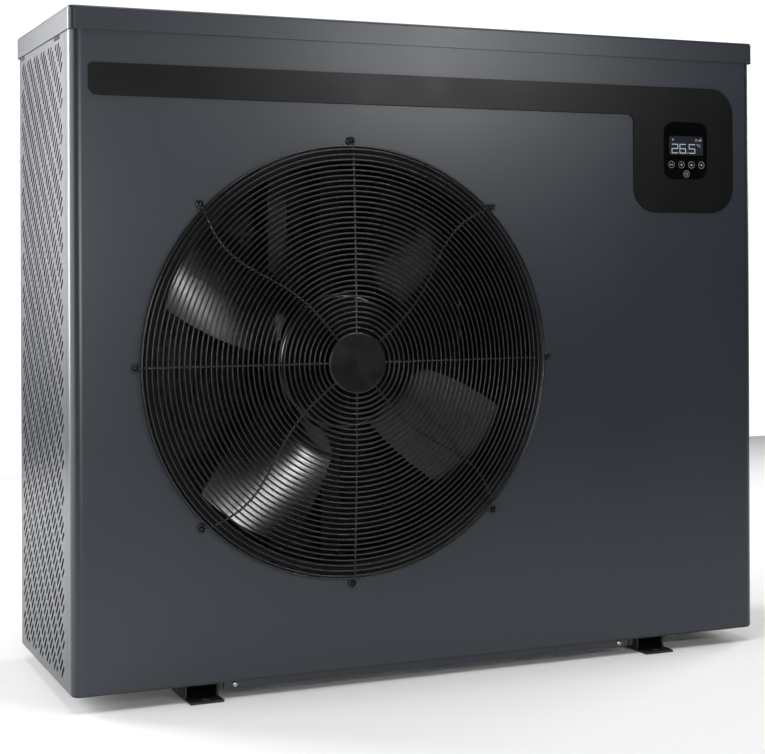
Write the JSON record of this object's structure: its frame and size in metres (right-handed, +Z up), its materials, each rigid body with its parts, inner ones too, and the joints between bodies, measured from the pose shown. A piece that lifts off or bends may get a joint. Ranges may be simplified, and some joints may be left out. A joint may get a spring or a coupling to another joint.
{
  "type": "heat pump unit",
  "caption": "Free-standing sheet-steel heat pump unit for pool water, with a round fan guard in front, slotted side grille, black fascia with key controller, finned coil and side water unions.",
  "frame": {"origin": "centre of the four anchor holes of the feet, at floor level", "axes": "+X to the right seen from the front, +Y to the rear, +Z up; the fan side faces -Y"},
  "size_m": [1.1555, 0.3984, 0.94],
  "materials": {
    "anthracite_paint": "satin powder coat",
    "black_coated_steel": "matt powder coat",
    "guard_wire": "satin powder coat on steel wire",
    "black_moulding": "fine grain",
    "fan_plastic": "smooth moulding",
    "fascia_plastic": "fine texture",
    "gloss_black": "polished",
    "display_glass": "smoked lens",
    "circuit_board": "solder mask",
    "rubber": "matt",
    "zinc_steel": "galvanised",
    "chrome_screws": "polished",
    "black_screws": "satin",
    "aluminium_fins": "mill finish",
    "copper": "drawn copper",
    "brass": "machined",
    "box_plastic": "moulded",
    "vessel_plastic": "moulded",
    "pvc_grey": "moulded PVC"
  },
  "bodies": {
    "root": {"base_pan": "black_coated_steel", "foot_left": "black_coated_steel", "foot_right": "black_coated_steel", "skirt_strip": "anthracite_paint", "strip_screws": "chrome_screws", "front_panel": "anthracite_paint", "left_grille_panel": "anthracite_paint", "lid_clips": "black_moulding", "right_panel": "anthracite_paint", "corner_post_left": "anthracite_paint", "corner_post_right": "anthracite_paint", "rear_frame": "anthracite_paint", "rear_guard": "black_coated_steel", "rear_service_panel": "anthracite_paint", "top_cover": "anthracite_paint", "panel_screws": "black_screws", "bulkhead": "zinc_steel", "top_brace": "zinc_steel", "fan_shroud": "black_moulding", "guard_rings": "guard_wire", "guard_spokes": "guard_wire", "guard_centre_disc": "guard_wire", "guard_screws": "guard_wire", "motor_stator": "copper", "motor_bearings": "zinc_steel", "motor_housing": "zinc_steel", "motor_bracket": "zinc_steel", "coil_fins": "aluminium_fins", "coil_bends": "copper", "coil_end_plates": "zinc_steel", "fascia": "fascia_plastic", "controller_housing": "gloss_black", "controller_gasket": "rubber", "display_window": "display_glass", "display_module": "circuit_board", "electrical_box": "box_plastic", "control_board": "circuit_board", "compressor": "black_coated_steel", "compressor_mounts": "rubber", "accumulator": "black_coated_steel", "four_way_valve": "brass", "expansion_valve": "brass", "refrigerant_pipes": "copper", "heat_exchanger": "vessel_plastic", "flow_switch": "brass", "union_tail_inlet": "pvc_grey", "union_tail_outlet": "pvc_grey", "fittings": "black_moulding"},
    "fan_rotor": {"fan_hub": "fan_plastic", "fan_blades": "fan_plastic", "fan_nut": "zinc_steel", "motor_shaft": "zinc_steel", "motor_rotor": "zinc_steel"},
    "nut_inlet": {"union_nut_inlet": "black_moulding"},
    "nut_outlet": {"union_nut_outlet": "black_moulding"},
    "key_mode_body": {"key_mode": "gloss_black"},
    "key_fan_body": {"key_fan": "gloss_black"},
    "key_up_body": {"key_up": "gloss_black"},
    "key_down_body": {"key_down": "gloss_black"},
    "key_power_body": {"key_power": "gloss_black"}
  },
  "joints": [
    {"name": "fan_spin", "type": "hinge", "parent": "root", "child": "fan_rotor", "pos_m": [-0.1415, -0.12, 0.457], "axis": [0, 1, 0], "continuous": true},
    {"name": "press_mode", "type": "slide", "parent": "root", "child": "key_mode_body", "axis": [0, 1, 0], "range_m": [0, 0.0005], "stiffness_N_per_m": 2000},
    {"name": "press_fan", "type": "slide", "parent": "root", "child": "key_fan_body", "axis": [0, 1, 0], "range_m": [0, 0.0005], "stiffness_N_per_m": 2000},
    {"name": "press_up", "type": "slide", "parent": "root", "child": "key_up_body", "axis": [0, 1, 0], "range_m": [0, 0.0005], "stiffness_N_per_m": 2000},
    {"name": "press_down", "type": "slide", "parent": "root", "child": "key_down_body", "axis": [0, 1, 0], "range_m": [0, 0.0005], "stiffness_N_per_m": 2000},
    {"name": "press_power", "type": "slide", "parent": "root", "child": "key_power_body", "axis": [0, 1, 0], "range_m": [0, 0.0005], "stiffness_N_per_m": 2000},
    {"name": "turn_nut_inlet", "type": "hinge", "parent": "root", "child": "nut_inlet", "pos_m": [0.56, 0.06, 0.15], "axis": [1, 0, 0], "continuous": true},
    {"name": "turn_nut_outlet", "type": "hinge", "parent": "root", "child": "nut_outlet", "pos_m": [0.56, 0.06, 0.48], "axis": [1, 0, 0], "continuous": true}
  ]
}
